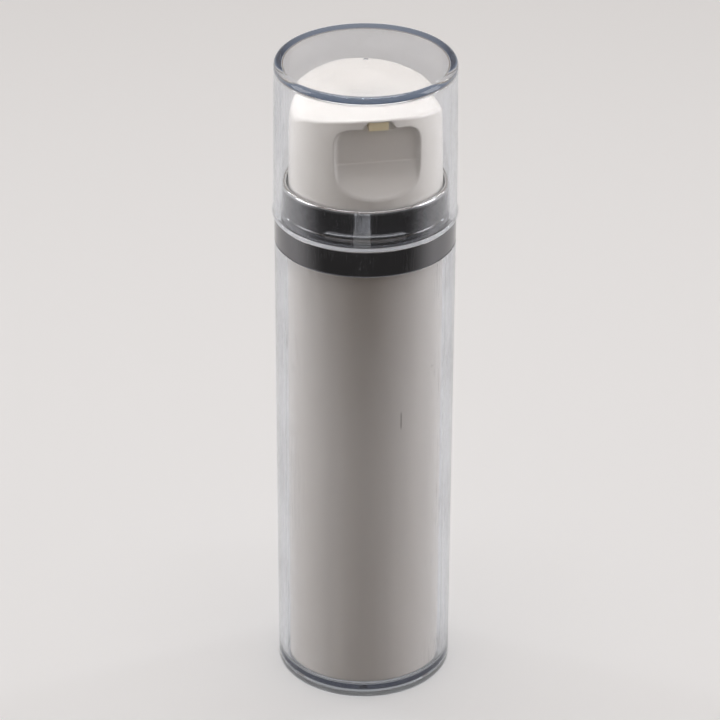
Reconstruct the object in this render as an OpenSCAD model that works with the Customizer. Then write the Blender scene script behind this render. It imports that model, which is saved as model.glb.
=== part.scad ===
// Airless pump bottle: clear outer shell round a white product cup, plated collar,
// white dispensing button with a scooped front, clear overcap, and the pump inside.
// The axis is Z, the base stands on Z = 0 and the nozzle faces -Y.

/* [Outer shell] */
// Radius of the clear shell at its shoulder
shell_top_r = 19.3; // [17:0.1:22]
// How much narrower the shell is at its foot
shell_draft = 0.3; // [0:0.05:0.5]
// Height of the shell's visible wall, up to the collar
shell_h = 105.3; // [80:0.5:130]
// Wall of the shell at its shoulder
shell_wall = 2.2; // [1.9:0.1:2.6]
// Thickness of the clear base
shell_base_t = 2.3; // [1.6:0.1:4]
// Rounding of the outer edge of the base
shell_foot_fillet = 1.0; // [0.4:0.1:1.5]
// Width of the ring that the bottle stands on
foot_ring_w = 4.5; // [2:0.5:8]
// Depth of the hollow inside that ring
foot_hollow = 0.5; // [0.2:0.1:0.9]
// Height of the spigot that the collar snaps over
spigot_h = 2.3; // [2:0.1:3.5]
// Radius of the air hole in each base
vent_r = 1.0; // [0.5:0.1:2]

/* [Inner cup] */
// Radial air gap between cup and shell
cup_gap = 0.65; // [0.4:0.05:0.8]
// Wall of the cup
cup_wall = 1.5; // [1.1:0.1:1.8]
// Gap under the cup's foot ring
cup_foot_gap = 0.3; // [0.1:0.1:0.8]
// Height of the cup's foot ring below its floor
cup_foot_h = 6.0; // [3:0.5:10]
// Thickness of the cup's floor
cup_floor_t = 1.4; // [1:0.1:2.5]
// Rounding of the cup's foot
cup_foot_r = 1.3; // [0.6:0.1:1.4]
// Height of the flared neck under the cup's flange
cup_flare_h = 8.0; // [1:0.5:12]
// Gap left between the flared neck and the shell
cup_neck_gap = 0.3; // [0.1:0.05:0.5]
// Thickness of the flange that hangs the cup on the shell
cup_flange_t = 0.9; // [0.6:0.1:1.3]

/* [Follower piston] */
// Height of the follower's sliding wall, lip to lip
follower_h = 11.5; // [8:0.5:16]
// Wall of the follower
follower_wall = 1.2; // [0.8:0.1:1.5]
// Height of each sealing lip
follower_lip_h = 2.2; // [1.4:0.1:3]
// How far the lips stand out of the wall
follower_lip = 0.7; // [0.3:0.1:1]
// Thickness of a lip at its edge
follower_edge = 0.5; // [0.3:0.05:0.7]
// Height of the crown above the upper lip
follower_crown_h = 5.5; // [3:0.5:6]
// Height of the well's floor above the lower lip
follower_well_h = 1.5; // [0.5:0.1:2.5]
// Radial room between the well and the closure's hub
follower_room = 0.35; // [0.2:0.05:0.8]

/* [Closure plug] */
// Thickness of the closure's flange
closure_t = 1.0; // [0.8:0.1:1.3]
// Depth of the plug inside the cup
plug_depth = 6.6; // [5:0.2:9]
// Wall of the plug
plug_wall = 1.2; // [0.9:0.1:1.6]
// Height of the hub round the pump body
hub_h = 2.4; // [1.5:0.1:4]
// Wall of the hub
hub_wall = 1.1; // [0.8:0.1:1.6]
// Thickness of the sealing gasket
gasket_t = 0.6; // [0.4:0.1:0.9]
// Width of the gasket ring
gasket_w = 2.2; // [1.4:0.1:2.6]

/* [Collar] */
// Wall of the collar's lower band
collar_wall = 1.15; // [0.9:0.05:1.3]
// Width of the step that the overcap stands on
step_w = 1.75; // [1.6:0.05:2]
// Wall of the collar's upper band
lip_wall = 0.83; // [0.7:0.01:1]
// Height of the upper band above the step
collar_up_h = 8.7; // [6:0.1:10]
// Thickness of the ledge that clamps the stack
collar_ledge_t = 1.0; // [0.8:0.1:1.6]
// Height of the overcap's snap above the step
cap_snap_h = 2.5; // [1.5:0.1:4]
// Depth of the snap groove round the upper band
cap_snap_depth = 0.15; // [0.1:0.05:0.25]

/* [Overcap] */
// How far the overcap's wall stands out over the shell
cap_out = 0.2; // [0.1:0.05:0.4]
// How much narrower the overcap is at its top
cap_draft = 0.3; // [0:0.05:0.5]
// Wall of the overcap
cap_wall = 1.55; // [1.3:0.05:1.7]
// Thickness of the overcap's top plate
cap_top_t = 1.9; // [1.2:0.1:2.5]
// Room between the button and the overcap's top
cap_headroom = 4.3; // [2:0.1:8]
// Rounding of the overcap's top edge
cap_edge_r = 1.1; // [0.5:0.1:1.4]
// Rounding of the corner inside it
cap_inner_r = 0.6; // [0.3:0.1:1.2]
// How far the foot rim stands out
cap_rim = 0.2; // [0.1:0.05:0.3]
// Height of the foot rim
cap_rim_h = 0.9; // [0.5:0.1:1.5]
// Angle that each inner snap bead covers
cap_bead_deg = 54; // [20:1:80]
// Number of inner snap beads
cap_bead_n = 3; // [2:1:4]
// Turn of the first snap bead from the front
cap_bead_turn = -10; // [-60:5:60]
// Radius of the gate mark on the top plate
gate_r = 0.5; // [0.3:0.1:1]

/* [Button] */
// Draft of the button's wall in degrees
btn_draft = 1.4; // [0.5:0.1:2]
// Depth of the button's skirt inside the collar
btn_skirt_in = 1.9; // [1:0.1:3]
// Height of the top's front edge above the collar
btn_front_h = 20.2; // [18:0.1:24]
// Fall of the top from front to back in degrees
btn_tilt = 3.1; // [0:0.1:5]
// Radius of the top's arch from side to side
btn_arch_r = 50; // [40:1:90]
// Radius that rounds the arch off at both sides
btn_side_r = 5.0; // [3:0.5:7]
// Wall of the button
btn_wall = 1.2; // [0.9:0.1:1.5]
// Thickness of the ribs inside the button
rib_t = 1.0; // [0.7:0.1:1.5]
// Wall of the boss that holds the nozzle insert
boss_wall = 1.15; // [0.8:0.05:1.5]
// Travel of the button
stroke = 4.0; // [3:0.1:4.4]

/* [Finger dish] */
// Radius of the dish in the button's top
dish_r = 6.9; // [5:0.1:9]
// Depth of the dish
dish_depth = 0.9; // [0.3:0.1:1]
// Distance of the dish behind the axis
dish_back = 2.5; // [0:0.1:4]

/* [Scooped front] */
// Width of the scooped recess
recess_w = 17.6; // [14:0.1:20]
// Distance of the recess's top edge below the button's front edge
recess_drop = 2.5; // [2.3:0.1:4]
// Rounding of the recess's upper corners
recess_corner_r = 3.7; // [2:0.1:5]
// Depth of the recess's flat back
recess_depth = 3.62; // [2.5:0.05:4]
// Height of the flat back
recess_flat_h = 8.5; // [5:0.1:9]
// Radius of the scoop below the flat back
scoop_r = 9.3; // [8:0.1:14]
// Width of the nozzle notch at its foot
notch_w = 7.1; // [6:0.1:9]
// Width of the nozzle notch at its top
notch_top_w = 4.6; // [4.3:0.1:5.6]
// Skin left above the notch
notch_skin = 0.65; // [0.5:0.05:0.8]

/* [Nozzle insert] */
// Width of the nozzle's tip
tip_w = 4.0; // [3:0.1:4.2]
// Height of the nozzle's tip
tip_h = 1.9; // [1.2:0.1:2]
// How far the tip stands out of the recess's flat back
tip_out = 2.5; // [1:0.1:3]
// Width of the channel in the tip
slot_w = 2.0; // [1:0.1:2.4]
// Height of that channel
slot_h = 0.7; // [0.4:0.1:0.9]
// Wall in front of the outlet, which opens downwards under the tip
outlet_wall = 0.7; // [0.5:0.1:1]
// Wall of the insert's sleeve
sleeve_wall = 1.0; // [0.7:0.1:1.4]
// Width of the spring flange round the sleeve
seat_w = 2.0; // [1.6:0.1:3]
// Thickness of the spring flange
seat_t = 1.0; // [0.7:0.1:1.5]
// Outer radius of the sloping duct
duct_r = 1.5; // [1.2:0.1:1.8]
// Bore radius of the sloping duct
duct_bore_r = 0.8; // [0.5:0.1:1]

/* [Pump] */
// Bore radius of the pump body
body_bore_r = 5.2; // [4.7:0.1:5.8]
// Wall of the pump body
body_wall = 1.2; // [0.9:0.1:1.5]
// Width of the flange that carries the pump body
body_flange_w = 2.6; // [1.8:0.1:4]
// Thickness of that flange
body_flange_t = 1.0; // [0.8:0.1:1.5]
// Height of the pump body above the closure
body_up_h = 3.9; // [3.5:0.1:4.5]
// Bore radius of the stem
stem_bore_r = 1.55; // [1.4:0.05:1.75]
// Wall of the stem
stem_wall = 1.45; // [1.2:0.05:1.6]
// Wall of the stem's lower neck, which the piston slides on
neck_wall = 0.65; // [0.5:0.05:0.8]
// Length of the stem's grip inside the nozzle insert
stem_grip = 7.0; // [4:0.5:8]
// Height of the stop ring on the stem
ring_h = 0.9; // [0.6:0.1:1.2]
// Slip of the piston on the stem, which opens the outlet
piston_slip = 0.8; // [0.5:0.05:1]
// Height of the piston
piston_h = 3.45; // [3:0.05:4]
// Gap between the stem and the rod's valve head
outlet_gap = 1.3; // [1:0.1:1.6]
// How far the rod's valve head stands out from the neck
head_out = 1.2; // [0.9:0.1:1.6]
// Height of the rod's valve head
head_h = 1.2; // [0.8:0.1:1.6]
// Length of the rod's ribbed tail
tail_h = 7; // [4:0.5:10]
// Radius of the inlet ball
ball_r = 2.0; // [1.7:0.1:2.3]
// Lift of the inlet ball
ball_lift = 0.8; // [0.4:0.1:1.2]
// Radial room round the inlet ball
ball_room = 0.3; // [0.2:0.05:0.4]
// Wall of the ball's well
ball_wall = 2.2; // [1.2:0.1:2.6]
// Length of the inlet hole under the ball's seat
inlet_h = 1.6; // [1:0.1:3]
// Radius of the inlet hole
inlet_r = 1.2; // [0.8:0.05:1.3]
// Thickness of the stem guide's top
guide_t = 1.0; // [0.8:0.1:1.5]
// Wall of the stem guide's skirt
guide_wall = 1.15; // [0.8:0.05:1.6]
// Height of the stem guide's skirt
guide_skirt_h = 2.2; // [1.4:0.1:2.6]
// Height of the stem guide's pilot, which centres the spring
pilot_h = 1.2; // [0.6:0.1:2]
// Height of the return spring at rest
spring_h = 8.0; // [7.5:0.1:9]
// Wire radius of the return spring
wire_r = 0.28; // [0.2:0.02:0.32]
// Number of coils of the return spring
coils = 5; // [4:1:6]

/* [Fits] */
// Clearance of parts that are pushed together
fit = 0.05; // [0.02:0.01:0.08]
// Clearance of parts that slide
slide = 0.06; // [0.04:0.01:0.1]
// Clearance between the button and the collar
btn_gap = 0.3; // [0.2:0.05:0.4]
// Clearance between faces that stop each other
stop_gap = 0.1; // [0.05:0.05:0.15]
// Height of the snap beads
snap_h = 0.8; // [0.6:0.1:1]
// How far the snap beads stand out
snap_out = 0.2; // [0.1:0.05:0.25]
// Chamfer that leads one piece into another
lead = 0.4; // [0.2:0.05:0.5]
// Softening of the plated edges
soft = 0.25; // [0.1:0.05:0.35]

/* [Hidden] */
$fn = 96;
// Overlap that lets a cutter pass its surface
over = 1;

// Radii of the shell, cup, collar, overcap and button, from the shell's shoulder inwards
shell_foot_r = shell_top_r - shell_draft;
shell_bore_r = shell_top_r - shell_wall;
cup_r = shell_bore_r - cup_gap;
cup_bore_r = cup_r - cup_wall;
neck_r = shell_bore_r - cup_neck_gap;
collar_bore_r = shell_top_r - collar_wall;
spigot_r = collar_bore_r - 2 * fit;
flange_r = spigot_r - fit;
collar_up_r = shell_top_r - step_w;
button_bore_r = collar_up_r - lip_wall;
btn_r = button_bore_r - btn_gap;
cap_foot_r = shell_top_r + cap_out;
cap_top_r = cap_foot_r - cap_draft;

// Heights of the stack, from the base up
z_cup = shell_base_t + cup_foot_gap;
z_floor = z_cup + cup_foot_h + cup_floor_t;
z_spigot = shell_h + spigot_h;
z_cup_top = z_spigot + cup_flange_t;
z_closure = z_cup_top + gasket_t;
z_plate = z_closure + closure_t;
z_step = z_plate + stop_gap + collar_ledge_t;
z_lip = z_step + collar_up_h;
z_plug = z_closure - plug_depth;
z_snap = z_plug + 2.75 * snap_h;
z_band_snap = shell_h + 1.1 * snap_h;

// Follower piston
z_follower = z_floor + cup_foot_gap;
follower_r = cup_bore_r - fit;
follower_wall_r = follower_r - follower_lip;
z_lip_top = z_follower + follower_h;
z_crown = z_lip_top + follower_crown_h;
crown_r = cup_bore_r - slide - plug_wall - follower_edge;

// Button
z_skirt = z_lip - btn_skirt_in;
z_front = z_lip + btn_front_h;
z_recess = z_front - recess_drop;
z_scoop = z_recess - recess_flat_h;
recess_back = btn_r - recess_depth;
front_r = btn_r - (z_front - z_skirt) * tan(btn_draft);
// Height of the arch's crown on the axis
z_crest = z_front - front_r * tan(btn_tilt);
notch_top = z_front - notch_skin;
dish_ball_r = (dish_r * dish_r + dish_depth * dish_depth) / (2 * dish_depth);

// Pump, from the closure plate up and down
body_r = body_bore_r + body_wall;
hub_r = body_r + fit + hub_wall;
well_r = hub_r + follower_room;
body_flange_r = body_r + body_flange_w;
stem_r = stem_bore_r + stem_wall;
stem_neck_r = stem_bore_r + neck_wall;
head_r = stem_neck_r + head_out;
sleeve_r = stem_r + sleeve_wall;
seat_r = sleeve_r + seat_w;
spring_r = (sleeve_r + seat_r) / 2;
z_body_top = z_plate + body_up_h;
z_guide = z_body_top + guide_t;
z_guide_plug = z_body_top - guide_t;
z_ring_top = z_guide_plug - stop_gap;
z_ring = z_ring_top - ring_h;
z_head = z_ring - fit - piston_slip - piston_h - fit;
z_neck = z_head + outlet_gap;
z_chamber = z_head - head_h - stroke - 2 * stop_gap;
cage_h = 2 * ball_room;
ball_well_r = ball_r + ball_room;
z_ball = z_chamber - cage_h - fit - ball_lift - ball_r;
z_seat = z_ball - ball_r * sqrt(2) - fit + inlet_r;
z_body = z_seat - inlet_h;
guide_r = body_r + fit + guide_wall;
z_spring_top = z_guide + spring_h;
z_insert = z_spring_top + seat_t;
z_boss = z_insert + seat_t;
z_stem_top = z_insert + stem_grip;
z_sleeve_top = z_crest - dish_depth - 2 * btn_wall;
tip_z = notch_top - 3 * fit - tip_h / 2;
tip_reach = recess_back + tip_out;
outlet_y = tip_reach - outlet_wall;
duct_from = z_sleeve_top - duct_r - lead;
knee = btn_wall;
duct_run = recess_back - btn_wall - knee - 2 * fit;
duct_to = tip_z - tip_h / 2 - 4 * fit;
duct_slope = atan((duct_to - duct_from) / duct_run);

// Points of an arc about (x, z), from angle a to angle b
function arc(x, z, r, a, b, n = 8) =
    [for (i = [0:n]) [x + r * cos(a + (b - a) * i / n), z + r * sin(a + (b - a) * i / n)]];

// Clear overcap: drafted wall, flat top with a rounded edge, foot rim and inner beads
module overcap() {
    z0 = z_step + fit;
    z1 = z_front + cap_headroom + cap_top_t;
    inner_foot = cap_foot_r - cap_wall;
    inner_top = cap_top_r - cap_wall;
    bevel = 3 * fit;
    z_bead = z_step + cap_snap_h;
    bead_tip = collar_up_r + fit;
    color([0.85, 0.88, 0.93, 0.3]) {
        difference() {
            rotate_extrude() polygon(concat(
                [[inner_foot + bevel, z0], [cap_foot_r + cap_rim - bevel, z0],
                    [cap_foot_r + cap_rim, z0 + bevel],
                    [cap_foot_r + cap_rim, z0 + cap_rim_h - cap_rim],
                    [cap_foot_r, z0 + cap_rim_h]],
                arc(cap_top_r - cap_edge_r, z1 - cap_edge_r, cap_edge_r, 0, 90),
                [[0, z1], [0, z1 - cap_top_t]],
                arc(inner_top - cap_inner_r, z1 - cap_top_t - cap_inner_r, cap_inner_r, 90, 0, 5),
                [[inner_foot, z0 + bevel]]));
            translate([0, 0, z1 - gate_r / 4]) cylinder(r = gate_r, h = over);
        }
        for (i = [0:cap_bead_n - 1])
            rotate([0, 0, -90 + cap_bead_turn + i * 360 / cap_bead_n - cap_bead_deg / 2])
                rotate_extrude(angle = cap_bead_deg) polygon([
                    [inner_foot + snap_out, z_bead - snap_h], [bead_tip, z_bead - snap_out],
                    [bead_tip, z_bead + snap_out], [inner_foot + snap_out, z_bead + snap_h]]);
    }
}

// Side-to-side outline of the button's top, inset by t: a wide arch rounded off at the sides
module arch_outline(t) {
    side_x = btn_r - btn_side_r;
    centre_z = z_crest - btn_arch_r;
    side_z = centre_z + sqrt(pow(btn_arch_r - btn_side_r, 2) - side_x * side_x);
    lean = asin(side_x / (btn_arch_r - btn_side_r));
    intersection() {
        translate([0, centre_z]) circle(btn_arch_r - t, $fn = 360);
        polygon([[-btn_r - over, z_skirt - over], [btn_r + over, z_skirt - over],
            [btn_r + over, side_z], [side_x, side_z],
            [side_x + btn_arch_r * sin(lean), side_z + btn_arch_r * cos(lean)],
            [-side_x - btn_arch_r * sin(lean), side_z + btn_arch_r * cos(lean)],
            [-side_x, side_z], [-btn_r - over, side_z]]);
    }
    for (s = [-1, 1]) translate([s * side_x, side_z]) circle(btn_side_r - t);
}

// Solid form of the button, inset by t on every outer face
module button_form(t, z0) {
    z1 = z_front + 2;
    intersection() {
        translate([0, 0, z0])
            cylinder(r1 = btn_r - t - (z0 - z_skirt) * tan(btn_draft),
                r2 = btn_r - t - (z1 - z_skirt) * tan(btn_draft), h = z1 - z0);
        translate([0, 0, z_crest]) rotate([-btn_tilt, 0, 0]) translate([0, 0, -z_crest])
            rotate([90, 0, 0]) linear_extrude(height = 4 * btn_r, center = true) arch_outline(t);
    }
}

// Scooped recess in the front, grown by t, with rounded upper corners
module recess_form(t) {
    half = recess_w / 2 + t;
    top = z_recess + t;
    corner = recess_corner_r + t;
    reach = recess_back + scoop_r;
    low = z_scoop - scoop_r - t;
    intersection() {
        rotate([90, 0, 0]) linear_extrude(height = reach) union() {
            translate([-half, low]) square([2 * half, top - corner - low]);
            translate([-half + corner, low]) square([2 * (half - corner), top - low]);
            for (s = [-1, 1]) translate([s * (half - corner), top - corner]) circle(corner);
        }
        rotate([90, 0, 90]) linear_extrude(height = 2 * half + 2, center = true) union() {
            translate([-reach, z_scoop]) square([scoop_r + t, top - z_scoop + over]);
            translate([-reach, z_scoop]) circle(scoop_r + t, $fn = 180);
        }
    }
}

// Tapered notch over the recess, open to the front
module notch_form() {
    translate([0, -recess_back, 0]) rotate([90, 0, 0]) linear_extrude(height = recess_back)
        polygon([[-notch_w / 2, z_recess - over], [notch_w / 2, z_recess - over],
            [notch_w / 2, z_recess], [notch_top_w / 2, notch_top],
            [-notch_top_w / 2, notch_top], [-notch_w / 2, z_recess]]);
}

// Outer form of the nozzle's duct and tip, grown by t
module duct_form(t) {
    translate([0, 0, duct_from]) rotate([90 - duct_slope, 0, 0])
        cylinder(r = duct_r + t, h = duct_run / cos(duct_slope));
    translate([-tip_w / 2 - t, -tip_reach - t, tip_z - tip_h / 2 - t])
        cube([tip_w + 2 * t, tip_reach - duct_run + 2 * t, tip_h + 2 * t]);
    translate([-tip_w / 2 - t, -duct_run - knee - t, duct_to - duct_r - t])
        cube([tip_w + 2 * t, 2 * knee + 2 * t, tip_z + tip_h / 2 - duct_to + duct_r + 2 * t]);
}

// White button: hollow, scooped in front, dished on top, with a boss and ribs inside
module button_shell() {
    color([0.95, 0.95, 0.95]) difference() {
        union() {
            difference() {
                button_form(0, z_skirt);
                button_form(btn_wall, z_skirt - over);
            }
            intersection() {
                button_form(btn_wall / 2, z_skirt);
                union() {
                    recess_form(btn_wall);
                    translate([-notch_w / 2 - btn_wall, -btn_r, z_recess - btn_wall])
                        cube([notch_w + 2 * btn_wall, recess_depth + btn_wall, z_front - z_recess]);
                    translate([0, 0, z_boss])
                        cylinder(r = sleeve_r + fit + boss_wall, h = z_front - z_boss);
                    for (a = [45:90:315]) rotate([0, 0, a])
                        translate([sleeve_r + boss_wall / 2, -rib_t / 2, z_boss + 3 * rib_t])
                            cube([btn_r - sleeve_r - boss_wall, rib_t, z_front - z_boss]);
                }
            }
            intersection() {
                button_form(btn_wall / 2, z_skirt);
                translate([0, dish_back, z_crest + dish_ball_r - dish_depth])
                    sphere(dish_ball_r + btn_wall);
                cylinder(r = dish_r + dish_back + btn_wall, h = z_front + over);
                translate([0, 0, z_sleeve_top - over]) cylinder(r = btn_r, h = z_front);
            }
        }
        recess_form(0);
        notch_form();
        duct_form(fit);
        translate([0, 0, z_skirt - over])
            cylinder(r = sleeve_r + fit, h = z_sleeve_top + fit - z_skirt + over);
        translate([0, dish_back, z_crest + dish_ball_r - dish_depth]) sphere(dish_ball_r);
    }
}

// Nozzle insert: sleeve on the stem, spring flange, sloping duct, tip with an outlet below
module nozzle_insert() {
    color([0.84, 0.77, 0.6]) difference() {
        union() {
            translate([0, 0, z_insert]) cylinder(r = sleeve_r, h = z_sleeve_top - z_insert);
            translate([0, 0, z_spring_top]) cylinder(r = seat_r, h = z_insert - z_spring_top);
            duct_form(0);
        }
        translate([0, 0, z_spring_top - over])
            cylinder(r = stem_r + fit / 2, h = z_stem_top - z_spring_top + over);
        translate([0, 0, z_stem_top - over]) cylinder(r = stem_bore_r, h = duct_from - z_stem_top + over);
        translate([0, 0, duct_from]) sphere(stem_bore_r);
        translate([0, 0, duct_from]) rotate([90 - duct_slope, 0, 0])
            cylinder(r = duct_bore_r, h = duct_run / cos(duct_slope));
        translate([-slot_w / 2, -outlet_y, tip_z - slot_h / 2])
            cube([slot_w, outlet_y - duct_run + duct_bore_r, slot_h]);
        translate([-slot_w / 2, -outlet_y, tip_z - tip_h])
            cube([slot_w, outlet_y - recess_back - outlet_wall, tip_h]);
    }
}

// Hollow stem: grips the insert above, stops under the guide, narrows to the piston's neck
module pump_stem() {
    color([0.93, 0.93, 0.91]) rotate_extrude() polygon([
        [stem_bore_r, z_neck], [stem_neck_r, z_neck], [stem_neck_r, z_ring],
        [stem_r + ring_h, z_ring], [stem_r + ring_h, z_ring_top], [stem_r, z_ring_top],
        [stem_r, z_stem_top - lead], [stem_r - lead, z_stem_top - fit],
        [stem_bore_r, z_stem_top - fit]]);
}

// Rod below the stem: ribbed tail up the stem's bore and a head that shuts the outlet
module piston_rod() {
    tail_r = stem_bore_r - fit;
    rib = tail_r / 2;
    color([0.88, 0.9, 0.93]) {
        rotate_extrude() polygon([
            [0, z_head - head_h], [head_r - lead, z_head - head_h],
            [head_r, z_head - head_h + lead], [head_r, z_head - lead],
            [head_r - lead, z_head], [tail_r * 0.8, z_head],
            [tail_r * 0.7, z_neck - stop_gap], [0, z_neck - stop_gap]]);
        intersection() {
            translate([0, 0, z_neck - lead]) cylinder(r = tail_r, h = tail_h);
            for (a = [0, 90]) rotate([0, 0, a])
                translate([-tail_r, -rib / 2, z_neck - lead]) cube([2 * tail_r, rib, tail_h]);
        }
    }
}

// Pump piston: inner sleeve that slips on the stem's neck, outer wall with two lips
module pump_piston() {
    z0 = z_head + fit;
    z1 = z0 + piston_h;
    lip_r = body_bore_r - slide / 2;
    thin = lead * 0.75;
    wall_r = lip_r - thin;
    bore = stem_neck_r + slide;
    sleeve = neck_wall;
    web = piston_h * 0.3;
    color([0.96, 0.95, 0.9]) rotate_extrude() polygon([
        [bore, z0], [bore + sleeve, z0], [bore + sleeve + thin, z0 + web],
        [wall_r - sleeve, z0 + web], [lip_r - thin, z0], [lip_r, z0], [wall_r, z0 + web + thin],
        [wall_r, z1 - web - thin], [lip_r, z1], [lip_r - thin, z1], [wall_r - sleeve, z1 - web],
        [bore + sleeve + thin, z1 - web], [bore + sleeve, z1], [bore, z1]]);
}

// Height of the spring's centre line at share u of its turns: closed ends, open middle
function coil_z(u) =
    let(span = z_spring_top - z_guide - 2 * wire_r, close = 2.2 * wire_r / span,
        e = 1 / coils)
    z_guide + wire_r + span * (u < e ? close * u / e
        : u > 1 - e ? 1 - close * (1 - u) / e
        : close + (1 - 2 * close) * (u - e) / (1 - 2 * e));

// Steel return spring between the guide and the insert's flange
module return_spring() {
    steps = coils * 20;
    sides = 8;
    points = [for (i = [0:steps]) for (j = [0:sides - 1])
        let(u = i / steps, turn = 360 * coils * u, side = 360 * j / sides,
            r = spring_r + wire_r * cos(side))
        [r * cos(turn), r * sin(turn), coil_z(u) + wire_r * sin(side)]];
    walls = [for (i = [0:steps - 1]) for (j = [0:sides - 1])
        let(k = (j + 1) % sides)
        [i * sides + j, (i + 1) * sides + j, (i + 1) * sides + k, i * sides + k]];
    ends = [[for (j = [0:sides - 1]) j],
        [for (j = [sides - 1:-1:0]) steps * sides + j]];
    color([0.72, 0.73, 0.75]) polyhedron(points = points, faces = concat(walls, ends), convexity = 6);
}

// Guide that caps the pump body and centres the stem and the spring
module stem_guide() {
    bore = stem_r + slide;
    plug_r = body_bore_r - fit;
    pilot_r = spring_r - wire_r - stop_gap;
    color([0.94, 0.94, 0.92]) rotate_extrude() polygon([
        [bore, z_guide_plug], [plug_r, z_guide_plug], [plug_r, z_body_top],
        [body_r + fit, z_body_top], [body_r + fit, z_body_top - guide_skirt_h],
        [guide_r, z_body_top - guide_skirt_h], [guide_r, z_guide - lead], [guide_r - lead, z_guide],
        [pilot_r, z_guide], [pilot_r, z_guide + pilot_h - lead],
        [pilot_r - lead, z_guide + pilot_h], [bore, z_guide + pilot_h]]);
}

// Pump body: flanged cylinder, with the ball's well, its cage and the inlet seat below
module pump_body() {
    outer = ball_well_r + ball_wall;
    nub_w = 0.4 * ball_r;
    color([0.93, 0.94, 0.95]) {
        rotate_extrude() polygon([
            [inlet_r, z_body], [outer - lead, z_body], [outer, z_body + lead],
            [outer, z_chamber - 1.6 * body_wall], [body_r, z_chamber - 0.4 * body_wall],
            [body_r, z_plate], [body_flange_r, z_plate],
            [body_flange_r, z_plate + body_flange_t], [body_r, z_plate + body_flange_t],
            [body_r, z_body_top], [body_bore_r, z_body_top], [body_bore_r, z_chamber],
            [ball_well_r, z_chamber], [ball_well_r, z_seat + ball_well_r - inlet_r],
            [inlet_r, z_seat]]);
        for (a = [0:120:240]) rotate([0, 0, a])
            translate([ball_well_r - cage_h, -nub_w / 2, z_chamber - cage_h])
                cube([cage_h + ball_wall / 4, nub_w, cage_h]);
    }
}

// Ball of the inlet valve, resting on its seat
module inlet_ball() {
    color([0.75, 0.77, 0.8]) translate([0, 0, z_ball]) sphere(ball_r);
}

// Closure: flange over the cup, plug with a snap bead inside it, and the pump's seat
module closure_plug() {
    plug_r = cup_bore_r - slide;
    hole_r = body_r + fit;
    ramp = 1.5 * snap_out;
    color([0.95, 0.95, 0.94]) rotate_extrude() polygon([
        [hole_r, z_closure - hub_h], [hub_r, z_closure - hub_h], [hub_r, z_closure],
        [plug_r - plug_wall, z_closure],
        [plug_r - plug_wall, z_plug], [plug_r - lead, z_plug], [plug_r, z_plug + lead],
        [plug_r, z_snap], [plug_r + snap_out, z_snap + ramp],
        [plug_r + snap_out, z_snap + snap_h - ramp], [plug_r, z_snap + snap_h],
        [plug_r, z_closure], [flange_r, z_closure], [flange_r, z_plate],
        [hole_r, z_plate]]);
}

// Soft ring between the cup's flange and the closure
module neck_gasket() {
    r0 = cup_bore_r + fit;
    color([0.85, 0.85, 0.85]) translate([0, 0, z_cup_top]) difference() {
        cylinder(r = r0 + gasket_w, h = gasket_t);
        translate([0, 0, -over]) cylinder(r = r0, h = gasket_t + 2 * over);
    }
}

// Plated collar: lower band flush with the shell, step, upper band with a rolled lip
module collar() {
    lip = (collar_up_r - button_bore_r) / 2;
    z_groove = z_step + cap_snap_h;
    mouth = snap_out + cap_snap_depth;
    color([0.75, 0.76, 0.78]) rotate_extrude() polygon(concat(
        [[collar_bore_r, shell_h], [shell_top_r - soft, shell_h],
            [shell_top_r, shell_h + soft]],
        arc(shell_top_r - soft, z_step - soft, soft, 0, 90, 4),
        [[collar_up_r, z_step], [collar_up_r, z_groove - mouth],
            [collar_up_r - cap_snap_depth, z_groove - snap_out],
            [collar_up_r - cap_snap_depth, z_groove + snap_out],
            [collar_up_r, z_groove + mouth]],
        arc(collar_up_r - lip, z_lip - lip, lip, 0, 180),
        [[button_bore_r, z_plate + stop_gap], [collar_bore_r, z_plate + stop_gap],
            [collar_bore_r, z_band_snap + snap_h],
            [collar_bore_r - snap_out, z_band_snap + snap_h - snap_out],
            [collar_bore_r - snap_out, z_band_snap + snap_out], [collar_bore_r, z_band_snap]]));
}

// Clear outer shell: drafted wall, thick base with a hollow foot, spigot for the collar
module outer_shell() {
    groove_z = z_band_snap - 2 * fit;
    groove_h = snap_h + 4 * fit;
    corner = cup_foot_r + cup_foot_gap / 2;
    color([0.85, 0.88, 0.93, 0.3]) rotate_extrude() polygon(concat(
        [[vent_r, foot_hollow], [shell_foot_r - foot_ring_w, foot_hollow],
            [shell_foot_r - foot_ring_w + foot_hollow, 0]],
        arc(shell_foot_r - shell_foot_fillet, shell_foot_fillet, shell_foot_fillet, -90, 0),
        [[shell_top_r, shell_h], [spigot_r, shell_h], [spigot_r, groove_z],
            [spigot_r - snap_out, groove_z + snap_out],
            [spigot_r - snap_out, groove_z + groove_h - snap_out],
            [spigot_r, groove_z + groove_h], [spigot_r, z_spigot],
            [shell_bore_r, z_spigot]],
        arc(shell_bore_r - corner, shell_base_t + corner, corner, 0, -90, 6),
        [[vent_r, shell_base_t]]));
}

// White cup: straight bore for the follower, raised vented floor, hanging flange
module inner_cup() {
    floor_z = z_cup + cup_foot_h;
    foot_turn = -70;
    groove = snap_out + fit;
    ease = 2 * fit;
    color([0.96, 0.96, 0.96]) rotate_extrude() polygon(concat(
        [[cup_bore_r, z_cup]],
        arc(cup_r - cup_foot_r, z_cup + cup_foot_r, cup_foot_r, foot_turn, 0, 6),
        [[cup_r, z_spigot - cup_flare_h], [neck_r, z_spigot - cup_flare_h / 2],
            [neck_r, z_spigot], [flange_r, z_spigot], [flange_r, z_cup_top],
            [cup_bore_r, z_cup_top], [cup_bore_r, z_snap + snap_h + 2 * ease],
            [cup_bore_r + groove, z_snap + snap_h], [cup_bore_r + groove, z_snap],
            [cup_bore_r, z_snap - 2 * ease], [cup_bore_r, z_floor], [vent_r, z_floor],
            [vent_r, floor_z], [cup_bore_r, floor_z]]));
}

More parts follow.
